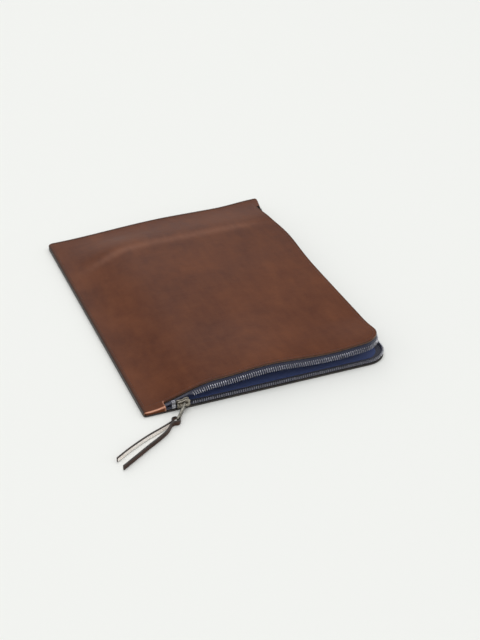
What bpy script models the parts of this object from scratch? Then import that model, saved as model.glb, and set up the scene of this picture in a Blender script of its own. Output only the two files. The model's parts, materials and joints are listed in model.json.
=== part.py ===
"""Leather laptop sleeve lying on its back, with its L-shaped zip open.

Two leather panels are sewn together along the left long side and the far short side. A
zip runs from a closed tab at the near left corner, round the rounded near right corner,
to a closed tab at the far right corner. The front panel stands up off the back one, and
its free corner folds back about a slanting line. The slider is at the bottom stop.

Places on the sleeve are (across, along): across from the left side, along from the near
side. The part's origin is at the middle of the back panel's underside.
"""

import math

import bmesh
import bpy
from mathutils import Matrix, Vector

MM = 0.001
NAME = "laptop_sleeve"

# The two panels
WIDTH = 257 * MM
LENGTH = 357 * MM
LEATHER = 1.8 * MM
LINING = 0.4 * MM
GAP = 0.3 * MM
BACK_RADIUS = 24 * MM
FRONT_RADIUS = 22 * MM
SEWN_RADIUS = 2 * MM
WELT = 1.1 * MM  # the leather strip between the two panels along the sewn sides
WELT_WIDE = 6.5 * MM
FRONT_NEAR = 7 * MM  # the front panel's near edge stands back this far
FRONT_SIDE = 251 * MM  # and its right edge is this far across
TAB = 22 * MM  # the closed length at each end of the zip

# How the front panel stands off the back one
CLOSED_UNDER = 3.5 * MM  # underside of the front leather at the sewn sides
OPEN_LIFT = 15.2 * MM
LEFT_START = 5 * MM
LEFT_RUN = 70 * MM
FAR_START = 3 * MM
FAR_RUN = 62 * MM
LIP_UNDER = LEATHER + GAP
LIP_FLAT = 1.2 * MM  # at its outer edge the turned-down lip lies on the back panel
LIP_TURN = 1.4 * MM  # and this is the width of the turn itself

# How the far side rises off the table
RISE_RUN = 70 * MM
RISE_MIDDLE = 7.5 * MM
RISE_ACROSS = 150 * MM
RISE_CORNER = 3.5 * MM
RISE_CORNER_RUN = 57 * MM

# The fold that opens the mouth
FOLD_START = (80 * MM, FRONT_NEAR)
FOLD_END = (FRONT_SIDE, 300 * MM)
FOLD_HEIGHT = CLOSED_UNDER + OPEN_LIFT + LEATHER

# The zip
TAPE = 0.6 * MM
TAPE_INSIDE = 9.5 * MM
TAPE_DROP = 0.5 * MM  # the upper tape lies this far under the leather
CHAIN_IN = 0.75 * MM  # the closed chain stands this far inside the back edge
TOOTH_HALF = 1.2 * MM
PITCH = 4.4 * MM
LOWER_TAPE_TOP = 3.65 * MM
LOWER_TEETH = (3.95 * MM, 4.9 * MM, 6.35 * MM)  # foot, root and tip heights
UPPER_TAPE_REACH = (3.65 * MM, 4.3 * MM)  # beside the slider, and past it
UPPER_TEETH = (4.6 * MM, 5.8 * MM, 7.6 * MM)  # foot, root and tip reaches
DROOP_START = math.radians(-14)
DROOP = math.radians(36)
DROOP_SIDE = math.radians(66)  # down the right side
DROOP_END = math.radians(-3)
TEETH_START = 48.5 * MM
TEETH_END = 322 * MM
ZIP_END = LENGTH - TAB - 0.5 * MM
STATION = 9 * MM  # the spacing of the strips' sections
STEP_RUN = 2 * MM  # the upper tape widens over this length, just short of the teeth

# The slider, from the middle of the chain that it runs on
SLIDER_ACROSS = 39 * MM
SLIDER_HEIGHT = 7.05 * MM
SLIDER_LONG = 13 * MM
SLIDER_WIDE = 8.2 * MM
SLIDER_DEEP = 4.5 * MM
PLATE = 0.75 * MM
FLANGE = 0.7 * MM
SLOT = 1.2 * MM
POST_LONG = 4.5 * MM
POST_WIDE = 0.8 * MM
BRIDGE_LONG = 8.4 * MM
BRIDGE_DEEP = 2.9 * MM
BRIDGE_WIDE = 2.0 * MM
BRIDGE_THICK = 0.9 * MM

# The pull tab, and the leather lace on it
TAB_LONG = 21.9 * MM
TAB_WIDE = 5 * MM
TAB_THICK = 1.3 * MM
TAB_EYE = 1.75 * MM
TAB_SLOT = (1.7 * MM, 1.6 * MM)
TAB_TURN = math.radians(229)  # the way it points, from +X
TAB_DIP = math.radians(12.5)
LACE_WIDE = 5 * MM
LACE_THICK = 1.4 * MM
LACE_FLOOR = 0.3 * MM
LACE_NECK = 2.3 * MM  # the strip is cut narrower where it passes through the tab
LOOP_RADIUS = 3.7 * MM
NECK_FLAT = 0.1
THREAD = 0.35 * MM
SEAM_IN = 3.5 * MM

STEEL = (0.52, 0.5, 0.46, 1)
BROWN = (0.13, 0.05, 0.025, 1)
NAVY = (0.02, 0.026, 0.075, 1)


def smooth(t):
    """0 to 1 with a level start and end."""
    t = min(max(t, 0.0), 1.0)
    return t * t * (3 - 2 * t)


def mix(a, b, t):
    return a + (b - a) * t


def place(across, along, height):
    """A point on the sleeve, in the part's frame."""
    return Vector((across - WIDTH / 2, along - LENGTH / 2, height))


def rise(across, along):
    """How far the back panel's underside is off the table."""
    edge = RISE_MIDDLE * smooth(across / RISE_ACROSS)
    edge += RISE_CORNER * smooth((across - WIDTH + RISE_CORNER_RUN) / RISE_CORNER_RUN)
    return edge * smooth((along - LENGTH + RISE_RUN) / RISE_RUN)


def front_under(across, along):
    """The height of the front leather's underside."""
    lift = smooth((across - LEFT_START) / LEFT_RUN)
    lift *= smooth((LENGTH - FAR_START - along) / FAR_RUN)
    under = CLOSED_UNDER + OPEN_LIFT * lift
    lip = 0.0
    if across < TAB:
        lip = smooth((LIP_FLAT + LIP_TURN - along) / LIP_TURN)
    if along > LENGTH - TAB:
        lip = smooth((across - WIDTH + LIP_FLAT + LIP_TURN) / LIP_TURN)
    return rise(across, along) + mix(under, LIP_UNDER, lip)


# Materials and scene


def material(name, colour, roughness, metallic=0.0):
    made = bpy.data.materials.new(name)
    made.use_nodes = True
    shader = made.node_tree.nodes["Principled BSDF"]
    shader.inputs["Base Color"].default_value = colour
    shader.inputs["Roughness"].default_value = roughness
    shader.inputs["Metallic"].default_value = metallic
    return made


def collection(name):
    made = bpy.data.collections.new(name)
    bpy.context.scene.collection.children.link(made)
    return made


def keep(shape, name, where, finish=None):
    """Names an object, files it in one collection and gives it its own material."""
    shape.name = name
    shape.data.name = name
    for old in list(shape.users_collection):
        old.objects.unlink(shape)
    where.objects.link(shape)
    if finish:
        shape.data.materials.clear()
        shape.data.materials.append(material(name, *finish))
    return shape


def as_cutter(shape, name):
    shape.hide_render = True
    shape.display_type = "WIRE"
    return keep(shape, name, CUTTERS)


def from_bmesh(work, name):
    data = bpy.data.meshes.new(name)
    bmesh.ops.recalc_face_normals(work, faces=work.faces)
    work.to_mesh(data)
    work.free()
    made = bpy.data.objects.new(name, data)
    bpy.context.scene.collection.objects.link(made)
    return made


def mesh_of(curve):
    """Turns a curve object into a mesh object with its caps welded."""
    bpy.context.view_layer.update()
    seen = curve.evaluated_get(bpy.context.evaluated_depsgraph_get())
    data = bpy.data.meshes.new_from_object(seen)
    work = bmesh.new()
    work.from_mesh(data)
    bmesh.ops.remove_doubles(work, verts=work.verts, dist=0.001 * MM)
    bmesh.ops.recalc_face_normals(work, faces=work.faces)
    work.to_mesh(data)
    work.free()
    made = bpy.data.objects.new(curve.name, data)
    made.matrix_world = curve.matrix_world
    bpy.context.scene.collection.objects.link(made)
    bpy.data.objects.remove(curve)
    return made


def cut(shape, cutter, operation="DIFFERENCE"):
    step = shape.modifiers.new(operation.title(), "BOOLEAN")
    step.operation = operation
    step.object = cutter


def bevel(shape, width, segments=1):
    step = shape.modifiers.new("Bevel", "BEVEL")
    step.width = width
    step.segments = segments
    step.limit_method = "ANGLE"


# Shapes


def rounded(corners, steps=6):
    """The outline through (x, y, radius) corners, each with its radius as an arc."""
    points = []
    for i, (x, y, radius) in enumerate(corners):
        here = Vector((x, y))
        back = (Vector(corners[i - 1][:2]) - here).normalized()
        on = (Vector(corners[(i + 1) % len(corners)][:2]) - here).normalized()
        half = back.angle(on) / 2
        middle = here + (back + on).normalized() * radius / math.sin(half)
        start = here + back * radius / math.tan(half) - middle
        turn = (math.pi - 2 * half) * (1 if back.cross(on) < 0 else -1)
        for step in range(steps + 1):
            points.append(middle + Matrix.Rotation(turn * step / steps, 2) @ start)
    return points


def slab(name, outlines, thickness):
    """Flat outlines, the first with the others as holes, extruded to a mesh."""
    data = bpy.data.curves.new(name, "CURVE")
    data.dimensions = "2D"
    data.fill_mode = "BOTH"
    data.extrude = thickness / 2
    for outline in outlines:
        spline = data.splines.new("POLY")
        spline.points.add(len(outline) - 1)
        for point, corner in zip(spline.points, outline):
            point.co = (corner[0], corner[1], 0, 1)
        spline.use_cyclic_u = True
    made = bpy.data.objects.new(name, data)
    bpy.context.scene.collection.objects.link(made)
    return mesh_of(made)


def loft(name, rings):
    """A closed body through rings of points, with flat ends."""
    work = bmesh.new()
    made = [[work.verts.new(point) for point in ring] for ring in rings]
    for ring, after in zip(made, made[1:]):
        for i in range(len(ring)):
            work.faces.new((ring[i - 1], ring[i], after[i], after[i - 1]))
    work.faces.new(made[0])
    work.faces.new(made[-1])
    return from_bmesh(work, name)


def stations(start, stops):
    """Evenly spaced values from start through each (end, steps) stop."""
    values = [start]
    for end, steps in stops:
        first = values[-1]
        values += [mix(first, end, (i + 1) / steps) for i in range(steps)]
    return values


def sheet(name, height, thickness, outline):
    """A closed sheet standing on height(across, along), trimmed to the outline."""
    margin = 2 * MM
    lift_end = LEFT_START + LEFT_RUN
    across = stations(-margin, ((LEFT_START, 1), (TAB, 2), (lift_end, 7), (FRONT_SIDE, 4)))
    turn = LIP_FLAT + LIP_TURN
    across += stations(WIDTH - turn, ((WIDTH - LIP_FLAT, 2), (WIDTH + margin, 1)))
    rise_start = LENGTH - RISE_RUN
    along = stations(-margin, ((LIP_FLAT, 1), (turn, 2), (FRONT_NEAR, 1)))
    along += stations(FRONT_NEAR, ((rise_start, 4), (LENGTH - TAB, 6)))[1:]
    along += stations(LENGTH - TAB + 0.5 * MM, ((LENGTH - FAR_START, 3), (LENGTH + margin, 1)))
    columns, rows = len(across) - 1, len(along) - 1
    bpy.ops.mesh.primitive_grid_add(x_subdivisions=columns, y_subdivisions=rows, size=1)
    made = bpy.context.object
    for vertex in made.data.vertices:
        x = across[round((vertex.co.x + 0.5) * columns)]
        y = along[round((vertex.co.y + 0.5) * rows)]
        vertex.co = place(x, y, height(x, y))
    made.modifiers.new("Triangulate", "TRIANGULATE").quad_method = "FIXED"
    solid = made.modifiers.new("Solidify", "SOLIDIFY")
    solid.thickness = thickness
    solid.offset = 1
    cut(made, prism(name + "_outline", outline), "INTERSECT")
    return made


def prism(name, corners):
    """A tall cutter with the outline of (across, along, radius) corners."""
    shifted = [(x - WIDTH / 2, y - LENGTH / 2, radius) for x, y, radius in corners]
    return as_cutter(slab(name, [rounded(shifted)], 100 * MM), name)


def fold_cutter(name, clearance):
    """A block over everything on the flap's side of the fold."""
    start, end = place(*FOLD_START, 0), place(*FOLD_END, 0)
    way = (end - start).normalized()
    aside = Vector((way.y, -way.x, 0))
    size = 600 * MM
    bpy.ops.mesh.primitive_cube_add(size=size)
    block = bpy.context.object
    block.location = start + way * size / 4 + aside * (size / 2 + clearance)
    block.rotation_euler.z = math.atan2(way.y, way.x)
    return as_cutter(block, name)


def fold_side(point):
    """How far a point is on the flap's side of the fold."""
    start, end = place(*FOLD_START, 0), place(*FOLD_END, 0)
    way = (end - start).normalized()
    return (point - start).dot(Vector((way.y, -way.x, 0)))


# The zip's strips, by distance from the near tab and outward from a panel's edge


def edge_at(distance, near, side, radius):
    """(across, along) and the outward direction at a distance along a zip edge."""
    straight = side - radius - TAB
    arc = radius * math.pi / 2
    if distance < straight:
        return Vector((TAB + distance, near)), Vector((0, -1))
    if distance < straight + arc:
        turn = (distance - straight) / radius
        out = Vector((math.sin(turn), -math.cos(turn)))
        return Vector((side - radius, near + radius)) + out * radius, out
    return Vector((side, near + radius + distance - straight - arc)), Vector((1, 0))


def edge_distance(along, near, side, radius):
    """The distance at which a zip edge reaches that place up the right side."""
    return side - radius - TAB + radius * math.pi / 2 + along - near - radius


def lower_edge(distance):
    return edge_at(distance, 0, WIDTH, BACK_RADIUS)


def upper_edge(distance):
    return edge_at(distance, FRONT_NEAR, FRONT_SIDE, FRONT_RADIUS)


LOWER_END = edge_distance(ZIP_END, 0, WIDTH, BACK_RADIUS)
UPPER_END = edge_distance(ZIP_END, FRONT_NEAR, FRONT_SIDE, FRONT_RADIUS)


def lower_ring(distance, section):
    """Points of a (outward, height) section standing on the back panel's edge."""
    edge, out = lower_edge(distance)
    ring = []
    for outward, height in section:
        spot = edge + out * outward
        ring.append(place(*spot, height + rise(*edge)))
    return ring


def droop(distance):
    """How steeply the upper tape hangs outside the front panel's edge."""
    angle = mix(DROOP_START, DROOP, smooth((distance - 8 * MM) / (54 * MM)))
    angle = mix(angle, DROOP_SIDE, smooth((distance - 197 * MM) / (42 * MM)))
    return mix(angle, DROOP_END, smooth((distance - UPPER_END + 27 * MM) / (23 * MM)))


def upper_ring(distance, section):
    """Points of a (reach, drop) section hanging from the front panel's edge."""
    edge, out = upper_edge(distance)
    angle = droop(distance)
    ring = []
    for reach, drop in section:
        if reach <= 0:
            spot = edge + out * reach
            ring.append(place(*spot, front_under(*spot) - TAPE_DROP - drop))
            continue
        spot = edge + out * (reach * math.cos(angle) - drop * math.sin(angle))
        fall = reach * math.sin(angle) + drop * math.cos(angle)
        ring.append(place(*spot, front_under(*edge) - TAPE_DROP - fall))
    return ring


def spread(start, end, step):
    count = max(1, math.ceil((end - start) / step))
    return [mix(start, end, i / count) for i in range(count + 1)]


def edge_stations(start, end, near, side, radius):
    """Distances along a zip edge, closer together round the corner."""
    turn_start = side - radius - TAB
    turn_end = turn_start + radius * math.pi / 2
    values = []
    for low, high, step in (
        (start, turn_start, STATION),
        (turn_start, turn_end, STATION / 2),
        (turn_end, end, STATION),
    ):
        low, high = max(low, start), min(high, end)
        if low < high:
            values += spread(low, high, step)[:-1]
    return values + [end]


def lower_tape():
    outer, inner = -CHAIN_IN + TAPE / 2, -CHAIN_IN - TAPE / 2
    foot = LEATHER + GAP
    section = ((-TAPE_INSIDE, foot), (outer, foot), (outer, LOWER_TAPE_TOP))
    section += ((inner, LOWER_TAPE_TOP), (inner, foot + TAPE), (-TAPE_INSIDE, foot + TAPE))
    distances = edge_stations(0.5 * MM, LOWER_END, 0, WIDTH, BACK_RADIUS)
    return loft("lower_tape", [lower_ring(distance, section) for distance in distances])


def lower_teeth():
    foot, root, tip = LOWER_TEETH
    start = TEETH_START - TAB
    end = edge_distance(TEETH_END, 0, WIDTH, BACK_RADIUS)
    rings = []
    for i, distance in enumerate(spread(start, end, PITCH / 2)):
        top = tip if i % 2 else root
        sides = (-CHAIN_IN - TOOTH_HALF, -CHAIN_IN + TOOTH_HALF)
        section = ((sides[0], foot), (sides[1], foot), (sides[1], top), (sides[0], top))
        rings.append(lower_ring(distance, section))
    return loft("lower_teeth", rings)


def upper_tape(name, start, end):
    rings = []
    for distance in edge_stations(start, end, FRONT_NEAR, FRONT_SIDE, FRONT_RADIUS):
        past = smooth((distance - TEETH_START + TAB + STEP_RUN) / STEP_RUN)
        reach = mix(*UPPER_TAPE_REACH, past)
        bend = TAPE * math.tan(droop(distance) / 2)
        section = ((-TAPE_INSIDE, 0), (-TAPE_INSIDE / 2, 0), (0, 0), (reach, 0), (reach, TAPE))
        section += ((-abs(bend), TAPE), (-TAPE_INSIDE / 2, TAPE), (-TAPE_INSIDE, TAPE))
        rings.append(upper_ring(distance, section))
    return loft(name, rings)


def upper_teeth(name, start, end):
    foot, root, tip = UPPER_TEETH
    middle = TAPE / 2
    rings = []
    for i, distance in enumerate(spread(start, end, PITCH / 2)):
        reach = tip if i % 2 else root
        low, high = middle - TOOTH_HALF, middle + TOOTH_HALF
        rings.append(upper_ring(distance, ((foot, low), (reach, low), (reach, high), (foot, high))))
    return loft(name, rings)


def fold_distances(reach):
    """Where the fold crosses the upper zip edge, near and far, at that outward reach."""
    crossings = []
    step = 0.25 * MM
    for i in range(int(UPPER_END / step)):
        sides = []
        for distance in (i * step, (i + 1) * step):
            edge, out = upper_edge(distance)
            sides.append(fold_side(place(*(edge + out * reach), 0)))
        if (sides[0] < 0) != (sides[1] < 0):
            crossings.append(i * step)
    return crossings[0], crossings[-1]


def thread(name, points):
    """A stitched seam as one thread lying just over the front panel."""
    data = bpy.data.curves.new(name, "CURVE")
    data.dimensions = "3D"
    data.bevel_depth = THREAD
    data.bevel_resolution = 1
    data.use_fill_caps = True
    spline = data.splines.new("POLY")
    spline.points.add(len(points) - 1)
    for point, (across, along) in zip(spline.points, points):
        top = front_under(across, along) + 1.12 * LEATHER + GAP + THREAD
        point.co = (*place(across, along, top), 1)
    made = bpy.data.objects.new(name, data)
    bpy.context.scene.collection.objects.link(made)
    return mesh_of(made)


# The object's pieces


def panels(lap, clear):
    leather = (BROWN, 0.45)
    cloth = (NAVY, 0.9)
    rim = SEWN_RADIUS
    back = ((0, 0, rim), (WIDTH, 0, BACK_RADIUS), (WIDTH, LENGTH, rim), (0, LENGTH, rim))
    keep(sheet("back_panel", rise, LEATHER, back), "back_panel", PARTS, leather)

    step = 1 * MM
    front = ((0, 0, rim), (TAB, 0, step), (TAB, FRONT_NEAR, step))
    front += ((FRONT_SIDE, FRONT_NEAR, FRONT_RADIUS), (FRONT_SIDE, LENGTH - TAB, step))
    front += ((WIDTH, LENGTH - TAB, step), (WIDTH, LENGTH, rim), (0, LENGTH, rim))
    for name, cutter, operation in (
        ("front_panel", lap, "DIFFERENCE"),
        ("front_flap", clear, "INTERSECT"),
    ):
        made = sheet(name, front_under, LEATHER, front)
        cut(made, cutter, operation)
        keep(made, name, PARTS, leather)

    near = LIP_FLAT + LIP_TURN + 2 * GAP
    side, end, far = WELT_WIDE, WIDTH - near, LENGTH - WELT_WIDE
    welt = ((0, near, GAP), (side, near, GAP), (side, far, GAP), (end, far, GAP))
    welt += ((end, LENGTH, GAP), (0, LENGTH, rim))
    made = sheet("edge_welt", lambda x, y: rise(x, y) + LEATHER + GAP, WELT, welt)
    keep(made, "edge_welt", PARTS, leather)

    inside = TAPE_INSIDE + 0.4 * MM
    hem = WELT_WIDE + GAP

    def lining_outline(near, side, radius):
        corner = radius - inside
        low, right, far = near + inside, side - inside, LENGTH - hem
        return ((hem, low, rim), (right, low, corner), (right, far, rim), (hem, far, rim))

    outline = lining_outline(0, WIDTH, BACK_RADIUS)
    made = sheet("back_lining", lambda x, y: rise(x, y) + LEATHER + GAP, LINING, outline)
    keep(made, "back_lining", PARTS, cloth)
    outline = lining_outline(FRONT_NEAR, FRONT_SIDE, FRONT_RADIUS)
    for name, cutter, operation in (
        ("front_lining", lap, "DIFFERENCE"),
        ("flap_lining", clear, "INTERSECT"),
    ):
        made = sheet(name, lambda x, y: front_under(x, y) - GAP - LINING, LINING, outline)
        cut(made, cutter, operation)
        keep(made, name, PARTS, cloth)


def zip_tapes(lap, clear):
    cloth = (NAVY, 0.85)
    keep(lower_tape(), "lower_tape", PARTS, cloth)
    near, far = fold_distances(0)
    margin = 20 * MM
    for name, start, end, cutter, operation in (
        ("upper_tape_start", 0.5 * MM, near + margin, lap, "DIFFERENCE"),
        ("upper_tape_flap", near - margin, far + margin, clear, "INTERSECT"),
        ("upper_tape_end", far - margin, UPPER_END, lap, "DIFFERENCE"),
    ):
        made = upper_tape(name, start, end)
        cut(made, cutter, operation)
        keep(made, name, PARTS, cloth)


def zip_teeth():
    metal = (STEEL, 0.35, 1.0)
    keep(lower_teeth(), "lower_teeth", PARTS, metal)
    near, far = fold_distances(UPPER_TEETH[1])
    aside = 2 * MM
    last = edge_distance(TEETH_END, FRONT_NEAR, FRONT_SIDE, FRONT_RADIUS)
    for name, start, end in (
        ("upper_teeth_start", TEETH_START - TAB, near - aside),
        ("upper_teeth_flap", near + aside, far - aside),
        ("upper_teeth_end", far + aside, last),
    ):
        keep(upper_teeth(name, start, end), name, PARTS, metal)


def zip_stops():
    metal = (STEEL, 0.4, 1.0)
    # The bottom stop is a clip on both tapes, with its web between their edges.
    half, plate, web, slot = 3.6 * MM, 0.8 * MM, 0.35 * MM, 0.6 * MM
    outer = slot + plate
    outline = [(-outer, -half), (-slot, -half), (-slot, -web), (slot, -web), (slot, -half)]
    outline += [(outer, -half), (outer, half), (slot, half), (slot, web), (-slot, web)]
    outline += [(-slot, half), (-outer, half)]
    made = slab("bottom_stop", [outline], 3.4 * MM)
    made.rotation_euler = (math.pi / 2, 0, math.pi / 2)
    made.location = place(29.5 * MM, CHAIN_IN, SLIDER_HEIGHT + 0.15 * MM)
    bevel(made, 0.12 * MM)
    keep(made, "bottom_stop", PARTS, metal)

    # Each top stop is a small block on the end of a row of teeth.
    long = 2.6 * MM
    foot, _, tip = LOWER_TEETH
    start = edge_distance(TEETH_END, 0, WIDTH, BACK_RADIUS) + GAP
    sides = (-CHAIN_IN - TOOTH_HALF, -CHAIN_IN + TOOTH_HALF)
    section = ((sides[0], foot), (sides[1], foot), (sides[1], tip), (sides[0], tip))
    made = loft("lower_top_stop", [lower_ring(d, section) for d in (start, start + long)])
    keep(made, "lower_top_stop", PARTS, metal)
    foot, _, tip = UPPER_TEETH
    start = edge_distance(TEETH_END, FRONT_NEAR, FRONT_SIDE, FRONT_RADIUS) + GAP
    low, high = TAPE / 2 - TOOTH_HALF, TAPE / 2 + TOOTH_HALF
    section = ((foot, low), (tip, low), (tip, high), (foot, high))
    made = loft("upper_top_stop", [upper_ring(d, section) for d in (start, start + long)])
    keep(made, "upper_top_stop", PARTS, metal)


def slider():
    """The slider straddles the chain: lower row below its post, upper row above it.

    Returns the middle of the chain in it, and the middle of its bridge's strap.
    """
    metal = (STEEL, 0.4, 1.0)
    middle = place(SLIDER_ACROSS, CHAIN_IN, SLIDER_HEIGHT)
    half, high = SLIDER_DEEP / 2, SLIDER_WIDE / 2
    slot, inner, shelf = SLOT / 2, half - PLATE, high - FLANGE
    # Seen along the chain it is an H, two plates joined by the post, with the plates' edges
    # turned in towards the tapes.
    outline = []
    for side in (1, -1):
        way = [(half, -high), (half, high), (slot, high), (slot, shelf), (inner, shelf)]
        way += [(inner, POST_WIDE / 2)]
        outline += [(side * x, side * y) for x, y in way]
        outline += [(-side * inner, side * POST_WIDE / 2), (-side * inner, side * shelf)]
        outline += [(-side * slot, side * shelf), (-side * slot, side * high)]
    made = slab("slider_body", [outline], SLIDER_LONG)
    made.rotation_euler = (math.pi / 2, 0, math.pi / 2)
    made.location = middle
    bpy.ops.mesh.primitive_cube_add(size=1)
    room = bpy.context.object
    room.scale = (SLIDER_LONG, 2 * inner, 2 * shelf)
    room.location = middle - Vector((POST_LONG, 0, 0))
    cut(made, as_cutter(room, "slider_channel"))
    bevel(made, 0.15 * MM)
    keep(made, "slider_body", PARTS, metal)

    arch, foot = BRIDGE_LONG / 2, 1.5 * MM
    top, thick = BRIDGE_DEEP, BRIDGE_THICK
    corners = ((-arch, 0, 0.1 * MM), (-arch, top, 1.4 * MM), (arch, top, 1.4 * MM))
    corners += ((arch, 0, 0.1 * MM), (arch - foot, 0, 0.1 * MM))
    corners += ((arch - foot, top - thick, 0.4 * MM), (foot - arch, top - thick, 0.4 * MM))
    corners += ((foot - arch, 0, 0.1 * MM),)
    made = slab("slider_bridge", [rounded(corners, 3)], BRIDGE_WIDE)
    made.rotation_euler.x = math.pi
    made.location = middle - Vector((0, half + GAP, 0))
    keep(made, "slider_bridge", PARTS, metal)
    return middle, middle - Vector((0, half + GAP + BRIDGE_DEEP - BRIDGE_THICK / 2, 0))


def pull_tab(pivot):
    """A flat plate on edge, with an eye round the bridge and a slot for the lace.

    Returns the middle of the slot.
    """
    half, sides = TAB_WIDE / 2, 14
    corners = ((-half, -half, 2.2 * MM), (TAB_LONG - half, -half, 2 * MM))
    corners += ((TAB_LONG - half, half, 2 * MM), (-half, half, 2.2 * MM))
    hole = []
    for i in range(sides):
        turn = 2 * math.pi * i / sides
        hole.append((TAB_EYE * math.cos(turn), TAB_EYE * math.sin(turn)))
    end = TAB_LONG - half - 1.1 * MM
    long, wide = TAB_SLOT
    slot = [(end - 2 * long, -wide), (end, -wide), (end, wide), (end - 2 * long, wide)]
    made = slab("pull_tab", [rounded(corners, 3), hole, slot], TAB_THICK)
    way = Vector((math.cos(TAB_TURN), math.sin(TAB_TURN), 0))
    way = way * math.cos(TAB_DIP) - Vector((0, 0, math.sin(TAB_DIP)))
    side = Vector((-math.sin(TAB_TURN), math.cos(TAB_TURN), 0))
    turned = Matrix((way, side.cross(way), side)).transposed().to_4x4()
    made.matrix_world = Matrix.Translation(pivot) @ turned
    keep(made, "pull_tab", PARTS, (STEEL, 0.4, 1.0))
    return made.matrix_world @ Vector((end - long, 0, 0))


def lace(eye):
    """One leather strip on edge, folded round the end of the tab, in three stretches."""
    leather = (BROWN, 0.5)
    middle_height = LACE_FLOOR + LACE_WIDE / 2
    pinch = place(18.4 * MM, -22.6 * MM, 0)
    centre = Vector((eye.x, eye.y, 0))
    away = (pinch - centre).normalized()
    centre += away * LOOP_RADIUS
    aside = Vector((-away.y, away.x, 0))

    def section(spot, normal, height, wide):
        """A strip's cross-section, upright at spot, with its thickness along normal."""
        half = normal * LACE_THICK / 2
        up = Vector((0, 0, wide / 2))
        base = Vector((spot.x, spot.y, height))
        return [base - half - up, base + half - up, base + half + up, base - half + up]

    steps = 18
    open_turn = math.radians(38)
    rings = []
    for i in range(steps + 1):
        turn = mix(open_turn, 2 * math.pi - open_turn, i / steps)
        out = away * math.cos(turn) + aside * math.sin(turn)
        neck = smooth(1.8 * abs(turn / math.pi - 1) - NECK_FLAT)
        wide = mix(LACE_NECK, LACE_WIDE, neck)
        height = mix(eye.z, middle_height, neck)
        rings.append(section(centre + out * LOOP_RADIUS, out, height, wide))
    keep(loft("lace_loop", rings), "lace_loop", PARTS, leather)

    # Each tail's route is (across, along) points in millimetres, from the loop to its end.
    routes = {
        "lace_tail_upper": ((6.1, -28.6), (-5.9, -35.5), (-17.6, -42.3), (-29.2, -49.3), (-42.5, -58.3)),
        "lace_tail_lower": ((9.6, -31.2), (-2.4, -39.4), (-14.6, -47.3), (-26.8, -56.2), (-41.4, -67.2)),
    }
    for (name, route), side in zip(routes.items(), (-1, 1)):
        out = away * math.cos(open_turn) + aside * math.sin(open_turn) * side
        way = away * math.sin(open_turn) - aside * math.cos(open_turn) * side
        first = centre + out * LOOP_RADIUS
        beside = aside * side * (LACE_THICK / 2 + GAP)
        points = [first + way * 1.5 * GAP, first + way * 4 * GAP]
        points += [pinch - away * 2 * LACE_THICK + beside, pinch + beside]
        points += [place(x * MM, y * MM, 0) for x, y in route]
        rings = []
        line = smooth_line(points, 26)
        for i, spot in enumerate(line):
            run = line[min(i + 1, len(line) - 1)] - line[i - 1] if i else way
            normal = Vector((-run.y, run.x, 0)).normalized()
            rings.append(section(spot, normal, middle_height, LACE_WIDE))
        keep(loft(name, rings), name, PARTS, leather)


def smooth_line(points, count):
    """Points evenly spaced along a smooth curve through the given ones."""
    ends = [2 * points[0] - points[1], *points, 2 * points[-1] - points[-2]]
    fine = []
    for a, b, c, d in zip(ends, ends[1:], ends[2:], ends[3:]):
        for i in range(24):
            t = i / 24
            curve = (2 * b + (c - a) * t + (2 * a - 5 * b + 4 * c - d) * t * t)
            fine.append((curve + (3 * b - a - 3 * c + d) * t**3) / 2)
    fine.append(points[-1])
    lengths = [0.0]
    for a, b in zip(fine, fine[1:]):
        lengths.append(lengths[-1] + (b - a).length)
    line = []
    spot = 0
    for i in range(count + 1):
        target = lengths[-1] * i / count
        while spot < len(fine) - 2 and lengths[spot + 1] < target:
            spot += 1
        part = (target - lengths[spot]) / (lengths[spot + 1] - lengths[spot])
        line.append(fine[spot].lerp(fine[spot + 1], part))
    return line


def seams():
    tan = ((0.09, 0.035, 0.02, 1), 0.8)
    left = [(SEAM_IN, y) for y in spread(4 * MM, LENGTH - 5 * MM, 24 * MM)]
    keep(thread("left_seam_thread", left), "left_seam_thread", PARTS, tan)
    far = [(x, LENGTH - SEAM_IN) for x in spread(6 * MM, WIDTH - 12 * MM, 14 * MM)]
    keep(thread("far_seam_thread", far), "far_seam_thread", PARTS, tan)
    near, off = fold_distances(-SEAM_IN)
    aside = 1.5 * MM
    for name, start, end in (
        ("zip_seam_start", 2 * MM, near - aside),
        ("zip_seam_flap", near + aside, off - aside),
        ("zip_seam_end", off + aside, UPPER_END - 1 * MM),
    ):
        points = []
        for distance in edge_stations(start, end, FRONT_NEAR, FRONT_SIDE, FRONT_RADIUS):
            edge, out = upper_edge(distance)
            points.append(tuple(edge - out * SEAM_IN))
        keep(thread(name, points), name, PARTS, tan)


def on_axis(name, spot, pieces, holder=None):
    """Parents pieces to an empty on their joint's axis, and that to what carries it."""
    empty = bpy.data.objects.new(name, None)
    empty.location = spot
    PARTS.objects.link(empty)
    bpy.context.view_layer.update()
    for piece in pieces:
        carried = bpy.data.objects[piece]
        carried.parent = empty
        carried.matrix_parent_inverse = empty.matrix_world.inverted()
    if holder:
        empty.parent = holder
        empty.matrix_parent_inverse = holder.matrix_world.inverted()
    return empty


def moving_pieces(chain, strap, eye):
    """The flap turns about the fold; the slider carries the tab, and that the lace."""
    fold = place(*FOLD_START, FOLD_HEIGHT).lerp(place(*FOLD_END, FOLD_HEIGHT), 0.5)
    flap = ("front_flap", "flap_lining", "upper_tape_flap", "upper_teeth_flap", "zip_seam_flap")
    on_axis("mouth_fold", fold, flap)
    travel = on_axis("slider_travel", chain, ("slider_body", "slider_bridge"))
    swing = on_axis("puller_swing", strap, ("pull_tab",), travel)
    on_axis("lace_swing", eye, ("lace_loop", "lace_tail_upper", "lace_tail_lower"), swing)


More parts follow.
